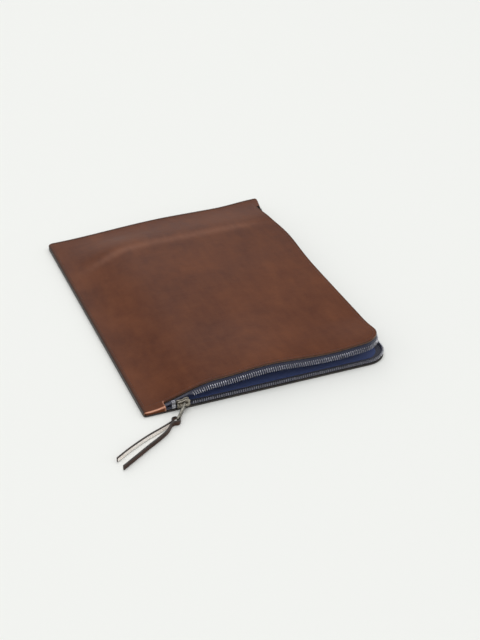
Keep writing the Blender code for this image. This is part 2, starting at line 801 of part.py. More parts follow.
for old in list(bpy.data.objects):
    bpy.data.objects.remove(old)
PARTS = collection(NAME)
CUTTERS = collection("cutters")
LAP = fold_cutter("fold_lap", -GAP)
CLEAR = fold_cutter("fold_clear", GAP)
panels(LAP, CLEAR)
zip_tapes(LAP, CLEAR)
zip_teeth()
zip_stops()
CHAIN, STRAP = slider()
EYE = pull_tab(STRAP)
lace(EYE)
seams()
moving_pieces(CHAIN, STRAP, EYE)
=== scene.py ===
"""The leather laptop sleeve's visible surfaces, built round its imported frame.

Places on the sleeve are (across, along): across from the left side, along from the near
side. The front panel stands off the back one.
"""

import json
import math

import bmesh
import bpy
from mathutils import Matrix, Vector


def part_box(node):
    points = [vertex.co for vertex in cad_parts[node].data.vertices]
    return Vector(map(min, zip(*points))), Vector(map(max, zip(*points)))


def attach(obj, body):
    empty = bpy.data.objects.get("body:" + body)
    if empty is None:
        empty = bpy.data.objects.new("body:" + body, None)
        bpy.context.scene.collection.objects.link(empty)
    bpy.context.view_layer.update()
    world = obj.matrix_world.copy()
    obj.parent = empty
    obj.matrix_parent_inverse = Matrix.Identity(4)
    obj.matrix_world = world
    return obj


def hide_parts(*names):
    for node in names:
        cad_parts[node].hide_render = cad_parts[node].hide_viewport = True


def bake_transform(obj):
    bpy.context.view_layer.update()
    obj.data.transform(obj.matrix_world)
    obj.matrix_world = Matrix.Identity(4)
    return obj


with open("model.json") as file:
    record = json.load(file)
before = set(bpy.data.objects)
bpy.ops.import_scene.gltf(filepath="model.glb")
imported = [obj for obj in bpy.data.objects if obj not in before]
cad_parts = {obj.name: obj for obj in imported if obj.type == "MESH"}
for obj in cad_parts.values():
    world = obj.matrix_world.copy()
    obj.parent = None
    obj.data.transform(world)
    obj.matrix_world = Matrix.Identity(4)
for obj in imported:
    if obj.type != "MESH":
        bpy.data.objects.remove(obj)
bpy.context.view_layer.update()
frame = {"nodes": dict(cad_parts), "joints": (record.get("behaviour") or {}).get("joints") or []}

MM = 0.001

# The panels: the back one's size is the frame's, and the rest are the part's own values
BACK_LOW, BACK_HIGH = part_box("back_panel")
WIDTH = BACK_HIGH[0] - BACK_LOW[0]
LENGTH = BACK_HIGH[1] - BACK_LOW[1]
LEATHER = 1.8 * MM
LINING = 0.4 * MM
GAP = 0.3 * MM
BACK_RADIUS = 24 * MM
FRONT_RADIUS = 22 * MM
SEWN_RADIUS = 3.2 * MM
FAR_LEFT_RADIUS = 6.5 * MM
FRONT_NEAR = 7 * MM  # the front panel's near edge is this far along
FRONT_SIDE = 251 * MM  # and its right edge is this far across
TAB = 22 * MM  # the closed tab at each end of the zip is this long
NUDGE = 0.01 * MM  # a place on the tab's very end counts as on the tab
WELT_WIDE = 6.5 * MM
SEAM_IN = 3.5 * MM
PAINT_AND_SHADE_SEWN = 2.2 * MM  # how far the edge paint, widened with painted shade of the thick sewn edge, runs in along the sewn sides
PAINT_ZIP = 0.9 * MM  # and along the zip

# How the front panel stands off the back one
CLOSED_UNDER = 3.5 * MM  # the height of its underside at the sewn sides
OPEN_LIFT = 15.2 * MM  # and how much higher it is at the open corner
LEFT_START = 5 * MM
LEFT_RUN = 70 * MM
FAR_START = 3 * MM
FAR_RUN = 62 * MM
LIP_UNDER = LEATHER + GAP
LIP_IN = 1.5 * MM  # the underside of the turned-down lip stands this far inside its edge
LIP_BEND = 1.1 * MM  # and this is the radius of its turn
FAR_TUCK = 1.6 * MM  # the far tab's lip goes this much further in where the mouth ends
FAR_TUCK_RUN = 2.8 * MM  # and the flat leather beside it takes this up

# How the far side is lifted off the table
RISE_RUN = 70 * MM
RISE_MIDDLE = 7.5 * MM
RISE_ACROSS = 150 * MM
RISE_CORNER = 3.5 * MM
RISE_CORNER_RUN = 57 * MM

# The zip
TAPE_INSIDE = 9.5 * MM  # how far the tapes reach in under the panels
TAPE_HALF = 0.28 * MM
BEAD_HALF = 0.5 * MM
TAPE_DROP = 0.5 * MM  # the upper tape is this far under the front leather
CHAIN_IN = 0.75 * MM  # the lower teeth stand this far inside the back panel's edge
PITCH = 2.2 * MM
TAPE_REACH = 3.65 * MM  # how far out the upper tape's bead stands in the slider
TAPE_WIDER = 2 * MM  # and how much further it stands elsewhere
TAPE_TUCK = 4.2 * MM  # it is drawn in by this at its far end
LOWER_TEETH = (3.95 * MM, 6.35 * MM)  # foot and tip heights
UPPER_TEETH = (2.6 * MM, 7.1 * MM)  # foot and tip reaches
TOOTH_ROOM = 0.6 * MM  # the end teeth stand this far inside their row's ends
STOP_LONG = 2.6 * MM
STOP_PAST = 1.6 * MM
DROOP_START = math.radians(-14)
DROOP = math.radians(36)
DROOP_SIDE = math.radians(78)  # down the right side
DROOP_END = math.radians(-3)
TEETH_START = 48.5 * MM
TEETH_END = 322 * MM
ZIP_END = LENGTH - TAB - 0.5 * MM

# The slider and the pull tab
JOINTS = {joint["name"]: joint for joint in frame["joints"]}
PIVOT = Vector(JOINTS["puller_swing"]["pos_m"])
LACE_PIVOT = Vector(JOINTS["lace_swing"]["pos_m"])
SLIDER_MIDDLE = Vector((PIVOT.x, -LENGTH / 2 + CHAIN_IN, PIVOT.z))
SLIDER_LONG = 13 * MM
SLIDER_WIDE = 8.2 * MM
SLIDER_TAPER = 1.6 * MM
SLIDER_DEEP = 4.5 * MM
PLATE = 0.75 * MM
FLANGE = 0.7 * MM
SLOT = 1.2 * MM
TAB_LONG = 21.9 * MM
TAB_WIDE = 5 * MM
TAB_THICK = 2.1 * MM

# The lace
LACE_WIDE = 5 * MM
LACE_THICK = 1.4 * MM
LACE_FLOOR = 0.3 * MM
LACE_NECK = 2.3 * MM
NECK_FLAT = 0.1
LOOP_RADIUS = 3.7 * MM
LOOP_OPEN = math.radians(38)
LOOP_STEPS = 56
TAIL_STEPS = 60
PINCH = (18.4, -22.6)  # where the loop's sides meet, and the ends' ways on, in millimetres
TAIL_ROUTES = {
    "upper": ((7.2, -26.6), (-3.6, -31.2), (-14.9, -36.8), (-28.6, -44.6), (-42.3, -53.6)),
    "lower": ((12.4, -31.2), (2.4, -38.6), (-8.6, -45.4), (-20.6, -53.3), (-40.4, -66.3)),
}

# The stitches
STITCH = 2.7 * MM
STITCH_STEP = 3.4 * MM
THREAD = 0.24 * MM
SLANT = 0.2 * MM  # how far apart a stitch's ends stand, across its line
GROOVE = 0.12 * MM
GROOVE_WIDE = 0.8 * MM


def smooth(t):
    """0 to 1 with a level start and end."""
    t = min(max(t, 0.0), 1.0)
    return t * t * (3 - 2 * t)


def mix(a, b, t):
    return a + (b - a) * t


def bulge(across, along):
    """How far the leather's open side has spread out of line, to the right."""
    v = along / MM
    side = 2.2 * smooth((v - 35) / 30) - 1.1 * smooth((v - 260) / 60)
    crown = 4 * math.exp(-(((v - 250) / 45) ** 2))
    ends = 3.6 * smooth((v - 325) / 32) + 2.3 * smooth((65 - v) / 40)
    return (side + crown + ends) * MM * smooth((across - 60 * MM) / (190 * MM))


def place(across, along, height):
    """A point on the sleeve, in the frame."""
    return Vector((across - WIDTH / 2 + bulge(across, along), along - LENGTH / 2, height))


def spot_of(point):
    """(across, along) of a point in the frame."""
    across, along = point[0] + WIDTH / 2, point[1] + LENGTH / 2
    first = across - bulge(across, along)
    return across - bulge(first, along), along


# The heights of the leather


def rise(across, along):
    """How far the back panel's underside is off the table."""
    edge = RISE_MIDDLE * smooth(across / RISE_ACROSS)
    edge += RISE_CORNER * smooth((across - WIDTH + RISE_CORNER_RUN) / RISE_CORNER_RUN)
    return edge * smooth((along - LENGTH + RISE_RUN) / RISE_RUN)


def waver(across, along):
    """The slight unevenness of leather that has been carried about."""
    inside = smooth(across / (35 * MM)) * smooth((LENGTH - along) / (30 * MM))
    inside *= smooth((along - FRONT_NEAR) / (40 * MM)) * smooth((FRONT_SIDE - across) / (40 * MM))
    u, v = across / MM, along / MM
    wave = 0.5 * math.sin(u / 41 + v / 67 + 1) * math.sin(v / 53 - u / 90)
    wave += 0.16 * math.sin(u / 17 - v / 29 + 2) * math.sin(v / 23 + u / 37)
    return inside * wave * MM


def buckle(across, along):
    """The two low waves in the front leather along the near side of the mouth."""
    u, v = across / MM, along / MM
    middle = 3.9 * math.exp(-(((u - 130) / 38) ** 2)) * smooth((110 - v) / 103)
    corner = 3.3 * math.exp(-(((u - 242) / 30) ** 2)) * smooth((62 - v) / 50)
    return (middle + corner) * MM


def front_under(across, along):
    """The height of the front leather's underside."""
    lift = smooth((across - LEFT_START) / LEFT_RUN)
    lift *= smooth((LENGTH - FAR_START - along) / FAR_RUN)
    uneven = waver(across, along) + buckle(across, along)
    return rise(across, along) + CLOSED_UNDER + OPEN_LIFT * lift + uneven


def lip_gap(across, along):
    """How far a place on a tab is from the outer edge that is turned down, or None."""
    if across < TAB + NUDGE and along < FRONT_NEAR:
        return along
    if along > LENGTH - TAB - NUDGE and across > FRONT_SIDE:
        return WIDTH - across
    return None


def lip_turn(gap, under, floor):
    """(inward, height) on the underside of the lip, for a gap along the flat leather."""
    wall = under - LIP_BEND - floor
    arc = LIP_BEND * math.pi / 2
    way = gap / FRONT_NEAR * (wall + arc + FRONT_NEAR - LIP_IN - LIP_BEND)
    if way < wall:
        return LIP_IN, floor + way
    if way < wall + arc:
        turn = (way - wall) / LIP_BEND
        return LIP_IN + LIP_BEND * (1 - math.cos(turn)), under - LIP_BEND * (1 - math.sin(turn))
    return LIP_IN + LIP_BEND + way - wall - arc, under


def front_point(across, along):
    """The underside of the front leather, turned down over the outer edge of its tabs."""
    dip = groove(seam_gap(across, along, *UPPER))
    gap = lip_gap(across, along)
    if gap is None:
        return place(across, along, front_under(across, along) - dip)
    floor = rise(across, along) + LIP_UNDER
    inward, height = lip_turn(gap, front_under(across, along) - dip, floor)
    if across < TAB + NUDGE and along < FRONT_NEAR:
        return place(across, inward, height)
    tuck = 1 - smooth((inward - LIP_IN - LIP_BEND) / FAR_TUCK_RUN)
    inward += FAR_TUCK * tuck * smooth((LENGTH - along) / TAB)
    return place(WIDTH - inward, along, height)


def ridge_highlight(point):
    """1 along the near lip's turn, where the leather is stretched paler over it and a painted
    highlight brightens it, falling to 0.
    """
    across, along = spot_of(point)
    gap = lip_gap(across, along)
    if gap is None or along > FRONT_NEAR:
        return 0.0
    centre = front_under(across, along) - LIP_BEND
    turn = math.degrees(math.atan2(point[2] - centre, LIP_IN + LIP_BEND - gap))
    return 1.15 * math.exp(-(((turn - 52) / 12) ** 2))


def arc_gap(across, along, near, side, radius):
    """How far inside a panel's zip edge a place is."""
    corner = Vector((across - side + radius, near + radius - along))
    if corner.x > 0 and corner.y > 0:
        return radius - corner.length
    return min(along - near, side - across)


def seam_gap(across, along, near, side, radius):
    """How far a place is from the line of stitches round a panel."""
    gaps = across, LENGTH - along, arc_gap(across, along, near, side, radius)
    return min(abs(gap - SEAM_IN) for gap in gaps)


def groove(gap):
    return GROOVE * math.exp(-((gap / GROOVE_WIDE) ** 2))


# The zip edges, by distance from the near tab


LOWER = (0, WIDTH, BACK_RADIUS)
UPPER = (FRONT_NEAR, FRONT_SIDE, FRONT_RADIUS)


def edge_at(distance, near, side, radius):
    """(across, along) and the outward direction at a distance along a zip edge."""
    straight = side - radius - TAB
    arc = radius * math.pi / 2
    if distance < straight:
        return Vector((TAB + distance, near)), Vector((0, -1))
    if distance < straight + arc:
        turn = (distance - straight) / radius
        out = Vector((math.sin(turn), -math.cos(turn)))
        return Vector((side - radius, near + radius)) + out * radius, out
    return Vector((side, near + radius + distance - straight - arc)), Vector((1, 0))


def edge_distance(along, near, side, radius):
    """The distance at which a zip edge reaches that place up the right side."""
    return side - radius - TAB + radius * math.pi / 2 + along - near - radius


UPPER_END = edge_distance(ZIP_END, *UPPER)


def droop(distance):
    """How steeply the upper tape hangs outside the front panel's edge."""
    angle = mix(DROOP_START, DROOP, smooth((distance - 8 * MM) / (54 * MM)))
    angle = mix(angle, DROOP_SIDE, smooth((distance - 190 * MM) / (32 * MM)))
    return mix(angle, DROOP_END, smooth((distance - UPPER_END + 14 * MM) / (11 * MM)))


def lower_point(distance, outward, height):
    edge, out = edge_at(distance, *LOWER)
    return place(*(edge + out * outward), height + rise(*edge))


def upper_point(distance, reach, drop):
    edge, out = edge_at(distance, *UPPER)
    if reach <= 0:
        spot = edge + out * reach
        return place(*spot, front_under(*spot) - TAPE_DROP - drop)
    angle = droop(distance)
    spot = edge + out * (reach * math.cos(angle) - drop * math.sin(angle))
    fall = reach * math.sin(angle) + drop * math.cos(angle)
    return place(*spot, front_under(*edge) - TAPE_DROP - fall)


# Node materials


def rgb(red, green, blue):
    """A linear colour from sRGB values out of 255."""
    values = [value / 255 for value in (red, green, blue)]
    return (*(v / 12.92 if v < 0.04 else ((v + 0.055) / 1.055) ** 2.4 for v in values), 1)


def set_even(shader, values):
    """Sets the sockets that are the same all over."""
    for name, value in values.items():
        shader.inputs[name].default_value = value


class Surface:
    """A new material, with short ways to add nodes, which return the output sockets."""

    def __init__(self, name):
        self.material = bpy.data.materials.new(name)
        self.material.use_nodes = True
        self.tree = self.material.node_tree
        self.shader = self.tree.nodes["Principled BSDF"]

    def node(self, kind, sockets=None, **settings):
        """Adds a shader node, sets it, and links or sets its sockets."""
        made = self.tree.nodes.new("ShaderNode" + kind)
        for key, value in settings.items():
            setattr(made, key, value)
        for key, value in (sockets or {}).items():
            if isinstance(value, bpy.types.NodeSocket):
                self.tree.links.new(value, made.inputs[key])
            else:
                made.inputs[key].default_value = value
        return made.outputs

    def flat(self):
        """The place on the flat piece, in millimetres, which each mesh carries with it."""
        return self.node("Attribute", attribute_name="flat")["Vector"]

    def maths(self, operation, a, b=0.0):
        return self.node("Math", {0: a, 1: b}, operation=operation)[0]

    def times(self, a, b):
        return self.maths("MULTIPLY", a, b)

    def plus(self, a, b):
        return self.maths("ADD", a, b)

    def blend(self, factor, a, b):
        return self.node("Mix", {0: factor, 6: a, 7: b}, data_type="RGBA")[2]

    def stretched(self, vector, scale):
        return self.node("VectorMath", {0: vector, 1: scale}, operation="MULTIPLY")[0]

    def noise(self, vector, scale, detail=3.0, rough=0.5):
        sockets = {"Vector": vector, "Scale": scale, "Detail": detail, "Roughness": rough}
        return self.node("TexNoise", sockets)["Fac"]

    def ramp(self, factor, low, high, first=0.0, last=1.0):
        return self.node("MapRange", {0: factor, 1: low, 2: high, 3: first, 4: last})[0]

    def bump(self, height, distance, strength=1.0, under=None):
        sockets = {"Height": height, "Distance": distance, "Strength": strength}
        if under:
            sockets["Normal"] = under
        return self.node("Bump", sockets)["Normal"]

    def finished(self, colour, rough, normal, even=None):
        """The material, with its colour, roughness and bumps linked and its even values set."""
        for name, value in (("Base Color", colour), ("Roughness", rough), ("Normal", normal)):
            self.tree.links.new(value, self.shader.inputs[name])
        set_even(self.shader, even or {})
        return self.material


def leather_look(name, dark, light, pale_and_highlight):
    """Waxed leather: blotches, fine grain and pores.

    It is paler where its marks are above 0, from raw or stretched leather and from painted sheen and
    highlight, and dark with edge paint, which along the sewn sides is partly painted shade, where they
    are below.
    """
    look = Surface(name)
    flat = look.flat()
    wear_and_light = look.node("Attribute", attribute_name="wear_and_light")["Fac"]
    blotch = look.noise(flat, 0.022, 5, 0.62)
    streak = look.noise(look.stretched(flat, (0.11, 0.035, 0.05)), 1.0, 4, 0.6)
    cloud = look.plus(blotch, look.times(streak, 0.45))
    colour = look.blend(look.ramp(cloud, 0.5, 0.95), dark, light)
    sockets = {"Vector": flat, "Scale": 1.35, "Randomness": 0.9}
    cells = look.node("TexVoronoi", sockets, feature="SMOOTH_F1")["Distance"]
    pores = look.noise(flat, 2.8, 2)
    colour = look.blend(look.ramp(cells, 0.35, 0.75, 0, 0.22), colour, dark)
    # Paler from raw or stretched leather, and from the painted sheen and highlight
    pale_and_lit = look.times(wear_and_light, look.ramp(streak, 0.25, 0.7, 0.65, 1.0))
    colour = look.blend(pale_and_lit, colour, pale_and_highlight)
    # Dark edge paint where the marks are below 0; along the sewn sides it is widened into painted
    # shade
    colour = look.blend(look.ramp(wear_and_light, 0, -1), colour, rgb(46, 35, 30))
    gloss = look.ramp(look.plus(cloud, pores), 0.7, 1.6, 0.42, 0.56)
    gloss = look.maths("SUBTRACT", gloss, look.times(wear_and_light, 0.12))
    grain = look.bump(look.maths("SUBTRACT", 1.0, cells), 0.00006, 0.5)
    fine = look.bump(pores, 0.00003, 0.45, grain)
    creases = look.noise(look.stretched(flat, (0.05, 0.16, 0.1)), 1.0, 6, 0.7)
    even = {"Specular IOR Level": 0.06, "Coat Weight": 0.1, "Coat Roughness": 0.3}
    return look.finished(colour, gloss, look.bump(creases, 0.0006, 0.35, fine), even)


def edge_look(name, dark, light):
    """A cut leather edge, painted and burnished, with its layers just showing."""
    look = Surface(name)
    flat = look.flat()
    layers = look.noise(look.stretched(flat, (0.12, 0.12, 3.2)), 1.0, 4, 0.6)
    patches = look.noise(flat, 0.35, 3)
    tone = look.ramp(look.plus(layers, patches), 0.8, 1.25)
    colour = look.blend(tone, dark, light)
    rough = look.ramp(patches, 0.3, 0.7, 0.42, 0.62)
    return look.finished(colour, rough, look.bump(layers, 0.0002, 0.5))


def flesh_look(name, dark, light):
    """The unfinished side of leather, with its short nap."""
    look = Surface(name)
    flat = look.flat()
    nap = look.noise(flat, 1.9, 6, 0.75)
    patches = look.noise(flat, 0.09, 4)
    tone = look.plus(look.times(nap, 0.6), patches)
    colour = look.blend(look.ramp(tone, 0.55, 1.05), dark, light)
    rough = look.ramp(nap, 0.3, 0.7, 0.82, 0.97)
    return look.finished(colour, rough, look.bump(nap, 0.00025, 0.7), {"Sheen Weight": 0.25})


def woven_look(name, dark, light, pitch, herringbone=0.0):
    """Cloth of two sets of threads, or ribbed in zigzag rows that are herringbone wide."""
    look = Surface(name)
    flat = look.flat()
    parts = look.node("SeparateXYZ", {0: flat})
    warp, turn = parts["X"], math.tau / pitch
    if herringbone:
        warp = look.plus(warp, look.maths("PINGPONG", parts["Y"], herringbone))
    weft_turn = 3 * turn if herringbone else turn
    rib = look.maths("SINE", look.times(warp, turn))
    cross = look.maths("SINE", look.times(parts["Y"], weft_turn))
    share = look.plus(look.times(cross, 0.5), 0.75)
    weave = look.times(rib, share)
    slub = look.noise(look.stretched(flat, (0.25, 3.0, 1.0)), 1.0, 3)
    tone = look.plus(look.times(weave, 0.35), slub)
    colour = look.blend(look.ramp(tone, 0.1, 0.95), dark, light)
    rough = look.ramp(slub, 0.3, 0.7, 0.78, 0.94)
    even = {"Sheen Weight": 0.3, "Sheen Roughness": 0.5}
    return look.finished(colour, rough, look.bump(weave, 0.00008, 0.8), even)


def thread_look(name, dark, light):
    """Waxed thread, whose twist shows as slanting bands."""
    look = Surface(name)
    parts = look.node("SeparateXYZ", {0: look.flat()})
    slant = look.plus(parts["X"], look.plus(parts["Y"], parts["Z"]))
    twist = look.maths("SINE", look.times(slant, 9.0))
    colour = look.blend(look.ramp(twist, -1, 1), dark, light)
    rough = look.ramp(twist, -1, 1, 0.62, 0.5)
    return look.finished(colour, rough, look.bump(twist, 0.00005, 0.6))


def metal_look(name, bright, tarnish, rough, amount):
    """Plated metal: bright where it is rubbed, darker where it has tarnished."""
    look = Surface(name)
    where = look.node("TexCoord")["Object"]
    patches = look.noise(where, 420.0, 5, 0.65)
    scratches = look.noise(look.stretched(where, (600.0, 4500.0, 3000.0)), 1.0, 3)
    old = look.ramp(patches, 0.62 - amount * 0.4, 0.72)
    colour = look.blend(old, bright, tarnish)
    gloss = look.ramp(patches, 0.3, 0.75, *rough)
    gloss = look.plus(gloss, look.times(scratches, 0.08))
    return look.finished(colour, gloss, look.bump(scratches, 0.00002, 0.35), {"Metallic": 1.0})


class Looks:
    """Every material of the sleeve."""

    # Its pale colour serves the raw cut end and stretched lip, and the painted sheen and highlight
    grain = leather_look("leather_grain", rgb(78, 37, 16), rgb(102, 56, 31), rgb(250, 186, 156))
    edge = edge_look("leather_edge", rgb(34, 31, 29), rgb(60, 52, 46))
    zip_edge = edge_look("leather_zip_edge", rgb(66, 42, 28), rgb(98, 66, 42))
    flesh = flesh_look("leather_flesh", rgb(150, 118, 92), rgb(196, 164, 136))
    lace = leather_look("lace_grain", rgb(52, 36, 30), rgb(84, 62, 52), rgb(120, 88, 66))
    lace_edge = edge_look("lace_edge", rgb(36, 28, 26), rgb(62, 48, 42))
    lace_flesh = flesh_look("lace_flesh", rgb(250, 240, 230), rgb(255, 252, 248))
    # The inside of the lace's loop: its flesh side darkened as painted shade in the loop's hollow
    lace_inside_shade = flesh_look("lace_inside_shade", rgb(70, 50, 38), rgb(124, 94, 72))
    lining = woven_look("lining_cloth", rgb(34, 48, 98), rgb(72, 100, 168), 0.9)
    tape = woven_look("tape_cloth", rgb(16, 18, 34), rgb(44, 48, 76), 0.8, 1.6)
    thread = thread_look("stitch_thread", rgb(60, 32, 20), rgb(88, 52, 34))
    teeth = metal_look("teeth_metal", rgb(216, 216, 224), rgb(84, 82, 86), (0.2, 0.34), 0.55)
    pull = metal_look("pull_metal", rgb(150, 147, 138), rgb(66, 61, 52), (0.28, 0.44), 0.75)
    hardware = metal_look("slider_metal", rgb(182, 176, 164), rgb(92, 84, 70), (0.26, 0.42), 0.75)


# Meshes


def linked(name, data):
    """A new object with that data, in the scene."""
    made = bpy.data.objects.new(name, data)
    bpy.context.scene.collection.objects.link(made)
    return made


def final_mesh(thing):
    """A new mesh of an object with its modifiers applied."""
    bpy.context.view_layer.update()
    seen = thing.evaluated_get(bpy.context.evaluated_depsgraph_get())
    return bpy.data.meshes.new_from_object(seen)


def new_piece(name, work, looks):
    """An object from a bmesh, with its materials."""
    data = bpy.data.meshes.new(name)
    work.to_mesh(data)
    work.free()
    for look in looks:
        data.materials.append(look)
    return linked(name, data)


def settle(piece, crease):
    """Applies a piece's modifiers, so that its mesh is final, and shades it smooth."""
    data = final_mesh(piece)
    piece.modifiers.clear()
    piece.data = data
    data.shade_smooth()
    data.set_sharp_from_angle(angle=math.radians(crease))
    return piece


def carry(piece, wear_and_light=None):
    """Writes each point's place in millimetres, and its wear and painted light, into the mesh."""
    points = [vertex.co for vertex in piece.data.vertices]
    places = piece.data.attributes.new("flat", "FLOAT_VECTOR", "POINT")
    places.data.foreach_set("vector", [value / MM for point in points for value in point])
    marks = piece.data.attributes.new("wear_and_light", "FLOAT", "POINT")
    marks.data.foreach_set("value", [wear_and_light(point) if wear_and_light else 0.0 for point in points])
    return piece


def finish(piece, body, slot, *nodes):
    """What a piece rides on and what it replaces; the slot is not used."""
    if body == "fold":
        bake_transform(piece)
    else:
        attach(piece, body)
    if nodes:
        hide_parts(*nodes)


def spread(start, end, step):
    """Evenly spaced values from start to end, about a step apart."""
    count = max(1, round((end - start) / step))
    return [mix(start, end, i / count) for i in range(count + 1)]


def lines(start, *stops):
    """Evenly spaced values from start through each (end, step) stop, in millimetres."""
    values = [start]
    for end, step in stops:
        values += spread(values[-1], end, step)[1:]
    return [value * MM for value in values]


def rounded_off(across, along, corners):
    """Moves a place in a square corner of the grid in to the corner's rounded outline."""
    for middle_x, middle_y, way_x, way_y, radius in corners:
        x, y = (across - middle_x) * way_x / radius, (along - middle_y) * way_y / radius
        if x > 0 and y > 0:
            round_x, round_y = x * math.sqrt(1 - y * y / 2), y * math.sqrt(1 - x * x / 2)
            return middle_x + round_x * way_x * radius, middle_y + round_y * way_y * radius
    return across, along


def panel(name, looks, across, along, corners, point, thickness, skip=None, edge=0.5 * MM):
    """A sheet over a grid of lines, its underside at point(across, along), with round edges."""
    work = bmesh.new()
    grid = {}

    def vertex(i, j):
        if (i, j) not in grid:
            spot = rounded_off(across[i], along[j], corners)
            grid[i, j] = work.verts.new(point(*spot))
        return grid[i, j]

    for i in range(len(across) - 1):
        for j in range(len(along) - 1):
            middle = (across[i] + across[i + 1]) / 2, (along[j] + along[j + 1]) / 2
            if skip and skip(*middle):
                continue
            work.faces.new([vertex(i, j), vertex(i + 1, j), vertex(i + 1, j + 1), vertex(i, j + 1)])
    made = new_piece(name, work, looks)
    solid = made.modifiers.new("Thickness", "SOLIDIFY")
    solid.thickness = thickness
    solid.offset = 1
    step = made.modifiers.new("Edge", "BEVEL")
    step.width = edge
    step.segments = 3
    step.limit_method = "ANGLE"
    step.angle_limit = math.radians(60)
    step.use_clamp_overlap = False
    return settle(made, 60)


def three_sides(piece, top, bottom, rim, steep=0.55):
    """Gives the faces that look up, down and sideways their own materials."""
    for face in piece.data.polygons:
        up = face.normal.z
        face.material_index = top if up > steep else bottom if up < -steep else rim


def skin(work, rings, index=None, cap=0):
    """A closed body through rings of points; index gives a side's material."""
    made = [[work.verts.new(point) for point in ring] for ring in rings]
    for ring, after in zip(made, made[1:]):
        for i in range(len(ring)):
            face = work.faces.new((ring[i - 1], ring[i], after[i], after[i - 1]))
            face.material_index = index(i) if index else 0
    for ring in (made[0], made[-1]):
        work.faces.new(ring).material_index = cap


def closed(name, work, looks, crease):
    """A piece from a bmesh of closed bodies, with its faces turned outwards."""
    bmesh.ops.recalc_face_normals(work, faces=work.faces)
    return settle(new_piece(name, work, looks), crease)


def loft(name, rings, looks, index=None):
    """One body through rings of points, with the last look on its ends."""
    work = bmesh.new()
    skin(work, rings, index, len(looks) - 1)
    return closed(name, work, looks, 50)


def running_lengths(line):
    """How far along a line of points each one is."""
    lengths = [0.0]
    for a, b in zip(line, line[1:]):
        lengths.append(lengths[-1] + (b - a).length)
    return lengths


def point_along(line, lengths, distance):
    """The point at a distance along a line of points."""
    distance = min(max(distance, 0), lengths[-1])
    spot = max(i for i, length in enumerate(lengths[:-1]) if length <= distance)
    part = (distance - lengths[spot]) / (lengths[spot + 1] - lengths[spot])
    return line[spot].lerp(line[spot + 1], part)


# Leather


SEWN_CORNERS = (
    (SEWN_RADIUS, SEWN_RADIUS, -1, -1, SEWN_RADIUS),
    (FAR_LEFT_RADIUS, LENGTH - FAR_LEFT_RADIUS, -1, 1, FAR_LEFT_RADIUS),
    (WIDTH - SEWN_RADIUS, LENGTH - SEWN_RADIUS, 1, 1, SEWN_RADIUS),
)


def leather_front():
    corner = (FRONT_SIDE - FRONT_RADIUS, FRONT_NEAR + FRONT_RADIUS, 1, -1, FRONT_RADIUS)
    corners = [corner, *SEWN_CORNERS]
    left = (4.8, 0.8), (20, 2.2), (22, 1), (29, 1.75)
    across = lines(0, *left, (229, 2.5), (245, 1.45), (251, 0.75), (257, 0.4))
    near = (7, 0.35), (13, 0.75), (29, 1.45)
    along = lines(0, *near, (333, 2.5), (335, 1), (351, 2), (357, 0.8))

    def notch(u, v):
        return (u > TAB and v < FRONT_NEAR) or (u > FRONT_SIDE and v < LENGTH - TAB)

    looks = (Looks.grain, Looks.flesh, Looks.edge, Looks.zip_edge)
    made = panel("leather_front", looks, across, along, corners, front_point, LEATHER, notch)
    front_sides(made)

    carry(made, wear_and_light=front_wear_and_light)
    finish(made, "fold", "leather", "front_panel", "front_flap")


def front_wear_and_light(point):
    """Painted sheen where the leather bends over the laptop; pale at its cut end; on its lip's turn
    stretched paler and lit by a painted highlight. Edge paint, partly painted shade, below 0.
    """
    u, v = spot_of(point)
    # Edge paint, widened into painted shade along the sewn sides
    painted = paint(u, v, *UPPER, u > TAB and v < LENGTH - TAB)
    # A painted sheen: a pale streak along the crest where the leather bends down towards the far edge
    sheen_line = (v - 290 * MM + 18 * MM * smooth(1 - u / (110 * MM))) / (7 * MM)
    sheen_streak = 0.07 * math.exp(-(sheen_line**2)) * smooth(u / (60 * MM)) * smooth((WIDTH - u) / (60 * MM))
    cut_end = 0.0
    if u < TAB + 0.1 * MM and v < FRONT_NEAR + 2 * MM:
        cut_end = 0.42 * smooth((u - TAB + 1.6 * MM) / (1 * MM))
    return painted + max(sheen_streak, cut_end, ridge_highlight(point))


def paint(across, along, near, side, radius, at_zip=True):
    """The edge paint that has run on to the hair side, as marks below 0; along the sewn sides it is
    widened into painted shade of their thick edge.
    """
    sewn_paint_and_shade = 0.85 * math.exp(-((max(min(across, LENGTH - along), 0) / PAINT_AND_SHADE_SEWN) ** 2))
    if not at_zip:
        return -sewn_paint_and_shade
    gap = max(arc_gap(across, along, near, side, radius), 0)
    return -max(sewn_paint_and_shade, 0.8 * math.exp(-((gap / PAINT_ZIP) ** 2)))


def front_sides(made):
    """The hair side also covers the lip's wall, and the tabs' cut ends are left raw."""
    three_sides(made, 0, 1, 2)
    for face in made.data.polygons:
        u, v = spot_of(face.center)
        gap = lip_gap(u, v)
        at_zip = u > TAB and v < LENGTH - TAB and arc_gap(u, v, *UPPER) < 1.5 * MM
        if face.material_index == 2 and at_zip:
            face.material_index = 3
        if gap is None or gap > LIP_IN + LIP_BEND:
            continue
        end_on = face.normal.x if v < FRONT_NEAR else -face.normal.y
        outward = -face.normal.y if v < FRONT_NEAR else face.normal.x
        if end_on > 0.7:
            face.material_index = 1
        elif outward > 0.3:
            face.material_index = 0


